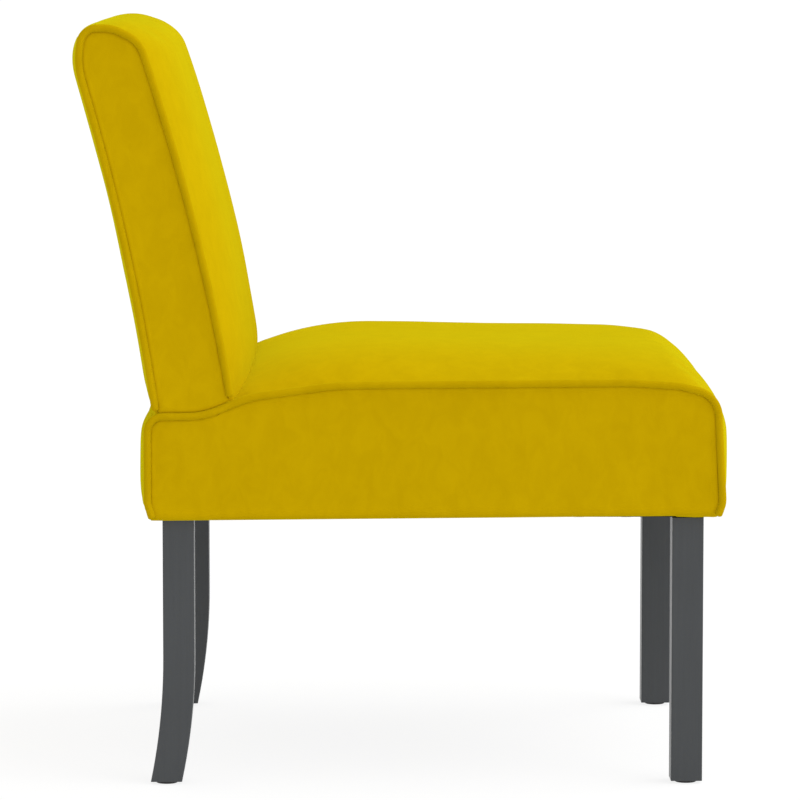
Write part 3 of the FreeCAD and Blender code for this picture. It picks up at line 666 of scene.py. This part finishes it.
def welt_line(seam, kept=slice(None)):
    """Centre line of a piping on the sitter's right, with closely set points at its ends."""
    yz = outline(seam, [welt_radius], [0.0], step=3.0)[0][kept]
    run = length_along(yz)
    cap = np.array([0.0, 0.3, 0.8, 1.5, 2.3])
    cap_end = 3.2
    between = (run > cap_end) & (run < run[-1] - cap_end)
    line = points_at(yz, run, np.concatenate([cap, run[between], run[-1] - cap[::-1]]))
    return np.concatenate([np.full((len(line), 1), -welt_x), line], 1)


def both_cords(name, line, replaced):
    """The piping of the sitter's right side as given at -X and its twin at +X."""
    for side, sign in (("right", 1.0), ("left", -1.0)):
        cord = piping(name + "_" + side, line * np.array([sign, 1.0, 1.0]))
        upholster(cord, [replaced + "_" + side], cord_velvet_pile_and_shade)


# Piping velvet is 8% darker: partly the pile opening over the cord, partly painted shade for the band
# beside the seams.
cord_velvet_pile_and_shade = velvet("velvet_piping_pile_and_shade", 0.92)
seat_cord_seam = np.vstack([
    (seat_rear - welt_turn, seat_floor - rear_foot_drop, 0, 0, 0, 0),
    (seat_rear, seat_floor + welt_straight, welt_bend, 0, 0, 0),
    seat_seam[1:-1],
    (seat_front, seat_floor + welt_straight, welt_bend, 0, 0, 0),
    (seat_front + welt_turn, seat_floor - front_foot_drop, 0, 0, 0, 0),
])
both_cords("seat_piping", welt_line(seat_cord_seam), "seat_welt")


# Back cover strip: one width of velvet up the rear of the back, over its top and down the front, over
# foam in front and wadding behind. Its ends are tucked down into the seat.
back_panel_depth = 66.0
back_rise = 386.0
back_swell = 2.8
tucked_rows = 8
back_top = seat_step + back_rise
back_bend = seat_step + 0.48 * back_rise

# Corners of the back's seam, written as those of the seat's.
back_seam = np.array([
    (seat_rear - 11, seat_step - 8, 1, 11, 0, 0),
    (seat_rear + 18, back_bend - 2.3, 2500, 12, 0, 0),
    (seat_rear + 67, back_top - 32.7, 80, 14.5, 9, 15),
    (seat_rear + 62.6, back_top, 13, 9, 2, 8),
    (seat_rear + 37.2, back_top, 34, 0, 13.5, 34),
    (seat_rear + 12.3, back_top - 11.8, 29, -25.5, 11, 24),
    (seat_rear + 18 - back_panel_depth, back_bend + 2.7, 2300, -31, 0, 0),
    (seat_rear - 12 - back_panel_depth, seat_step + 8, 1, -22, 20, 0),
])
back_points = crowned_strip(back_seam, across)
tucked = np.arange(len(back_points))[:, None]
tucked = np.minimum(tucked, len(back_points) - 1 - tucked) < tucked_rows
back_points = over_filling(gathered(back_points, 5), near_seam | tucked, back_swell, 41)
back_parts = ["back_cover_strip", "back_foam", "back_rear_padding"]
upholster(cloth_piece("back_cover", back_points), back_parts, flat_velvet)


# Back side panels: velvet over a thin pad, sewn to the strip all round and tucked in where they
# meet the piping of the seat.
# The foot of the panel follows the seat's piping from where the panel's border meets it behind to
# where it meets it in front; each meeting is looked for among the border's end points.
end_points = 60
back_border = outline(back_seam, [panel_grow], [0.0], step=2.0)[0]
seat_crest = outline(seat_seam, [2 * welt_radius + 0.3], [0.0], step=1.5)[0]
rear_foot = crossing(back_border[:end_points], seat_crest)
front_foot = len(back_border) - end_points + crossing(back_border[-end_points:], seat_crest)
crest_rear = crossing(seat_crest, back_border[rear_foot:rear_foot + 1])
crest_front = crossing(seat_crest, back_border[front_foot:front_foot + 1])
back_foot = seat_crest[crest_rear:crest_front + 1]
nose_rear = crossing(back_border, back_seam[3:4, :2])
nose_front = crossing(back_border, back_seam[5:6, :2])
rear_line = np.vstack([back_foot[:1], back_border[rear_foot + 1:nose_rear + 1]])
front_line = np.vstack([back_foot[-1:], back_border[nose_front:front_foot][::-1]])
nose_line = back_border[nose_rear:nose_front + 1]
back_face = patch(rear_line, nose_line, front_line, back_foot, rows=130, cols=40)
whole_border = np.vstack([rear_line, nose_line, front_line, back_foot])
back_lift = dome(distance_to(whole_border, back_face), dome_reach)
back_x = -(panel_edge + panel_dome * back_lift)
back_panel = np.concatenate([back_x[:, :, None], back_face], 2)
back_held = distance_to(whole_border, back_face) < held_band
back_panel = over_filling(back_panel, back_held, panel_swell, 31)
both_panels("back_side", back_panel, ["back_side_panel", "back_side_pad"])


# Back piping: the same corded strip, sewn round the back's side panels. It comes down behind and in
# front and is tucked in where the back meets the seat.
back_cord = outline(back_seam, [welt_radius], [0.0], step=3.0)[0]
seat_touch = outline(seat_seam, [3 * welt_radius - 1.0], [0.0], step=1.5)[0]
end_points = 40
first = crossing(back_cord[:end_points], seat_touch)
last = len(back_cord) - end_points + crossing(back_cord[-end_points:], seat_touch)
both_cords("back_piping", welt_line(back_seam, slice(first, last + 1)), "back_welt")


# Dust cover: thin black non-woven cloth, cut to a rectangle and stapled flat under the rails to close
# the seat from below.
cover_low, cover_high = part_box("dust_cover")
width, length = (cover_high.x - cover_low.x) / MM, (cover_high.y - cover_low.y) / MM


def stretched_cloth(rows, cols, hang=3.0, ripple_height=0.35, staple_pitch=46.0, fade=60.0):
    """Flat cloth that hangs a little: the sag is a product of sines.

    Faint ripples, a sine with the pitch of the staples, fade away from the edges.
    """
    v = np.linspace(0, 1, rows)[:, None]
    u = np.linspace(0, 1, cols)[None, :]
    x = cover_high.x / MM - width * u + 0 * v
    y = cover_low.y / MM + length * v + 0 * u
    sag = hang * (np.sin(np.pi * u) * np.sin(np.pi * v)) ** 0.8
    edge = np.minimum(np.minimum(u, 1 - u) * width, np.minimum(v, 1 - v) * length)
    ripple = np.sin(edge * 0.05) * np.sin(x * 2 * np.pi / staple_pitch) * np.exp(-edge / fade)
    z = cover_high.z / MM - sag + ripple_height * ripple * (edge > 0)
    return np.stack([x, y, z + 0 * x], 2)


dust_cover = cloth_piece("dust_cover_cloth", stretched_cloth(60, 60), thickness=0)
dust_cover.data.materials.append(felt)
hem = dust_cover.modifiers.new("cloth_thickness", "SOLIDIFY")
hem.thickness = 0.6 * MM
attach(dust_cover, "root")
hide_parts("dust_cover")


# Studio: a pale floor that keeps the chair's shadow, even soft light from above and from the viewer's
# side, and a long lens at the photograph's place.
def directly_seen(tree):
    """1 for rays of the camera, of a reflection and through glass, 0 for rays that only light."""
    path = tree.nodes.new("ShaderNodeLightPath")
    kinds = ("Camera", "Glossy", "Transmission")
    camera, glossy, through = (Field(tree, path.outputs["Is " + kind + " Ray"]) for kind in kinds)
    return (camera + glossy + through).clamped()


def floor_finish():
    """White floor: seen directly or in a reflection, it is partly its own light."""
    made, shader, place = new_finish("studio_floor", Base_Color=(0.9, 0.9, 0.9, 1), Roughness=1.0)
    shader.inputs["Specular IOR Level"].default_value = 0.0
    own_light = directly_seen(made.node_tree) * 0.8
    glow = place.node("ShaderNodeEmission", {}, {"Color": (1, 1, 1, 1), "Strength": 1.05})
    lit = Field(made.node_tree, shader.outputs[0])
    both = place.node("ShaderNodeMixShader", {}, {0: own_light, 1: lit, 2: glow})
    made.node_tree.links.new(both.socket, made.node_tree.nodes["Material Output"].inputs["Surface"])
    return made


floor_mesh = bpy.data.meshes.new("floor")
reach = 80.0
floor_corners = [(-reach, -reach, 0), (reach, -reach, 0), (reach, reach, 0), (-reach, reach, 0)]
floor_mesh.from_pydata(floor_corners, [], [(0, 1, 2, 3)])
floor = bpy.data.objects.new("floor", floor_mesh)
floor_mesh.materials.append(floor_finish())
bpy.context.scene.collection.objects.link(floor)

world = bpy.data.worlds.new("studio")
bpy.context.scene.world = world
world.use_nodes = True
backdrop = world.node_tree.nodes["Background"]
backdrop.inputs["Color"].default_value = (1, 1, 1, 1)
world_strength = 0.72
strength = directly_seen(world.node_tree) * (1 - world_strength) + world_strength
world.node_tree.links.new(strength.socket, backdrop.inputs["Strength"])


def sun(name, strength, angle, toward):
    """Broad soft lamp that shines along a direction."""
    lamp = bpy.data.lights.new(name, "SUN")
    lamp.energy = strength
    lamp.angle = np.radians(angle)
    made = bpy.data.objects.new(name, lamp)
    made.rotation_mode = "QUATERNION"
    made.rotation_quaternion = Vector(toward).to_track_quat("-Z", "Y")
    bpy.context.scene.collection.objects.link(made)


sun("overhead", 1.75, 70, (0.1, 0.9, -0.96))
sun("viewer_side", 0.28, 80, (1.0, 0.3, -0.45))

camera_y = seat_rear * MM - 0.2006
camera_place = Vector((-4.844, camera_y, 0.8491))
camera_aim = Vector((-0.224, camera_y - 0.048, 0.3859))
lens = bpy.data.cameras.new("photo_camera")
lens.lens = 207.9
lens.sensor_width = 36.0
lens.clip_end = 300.0
camera = bpy.data.objects.new("photo_camera", lens)
camera.location = camera_place
camera.rotation_mode = "QUATERNION"
camera.rotation_quaternion = (camera_aim - camera_place).to_track_quat("-Z", "Y")
bpy.context.scene.collection.objects.link(camera)
bpy.context.scene.camera = camera
bpy.context.scene.view_settings.view_transform = "Standard"
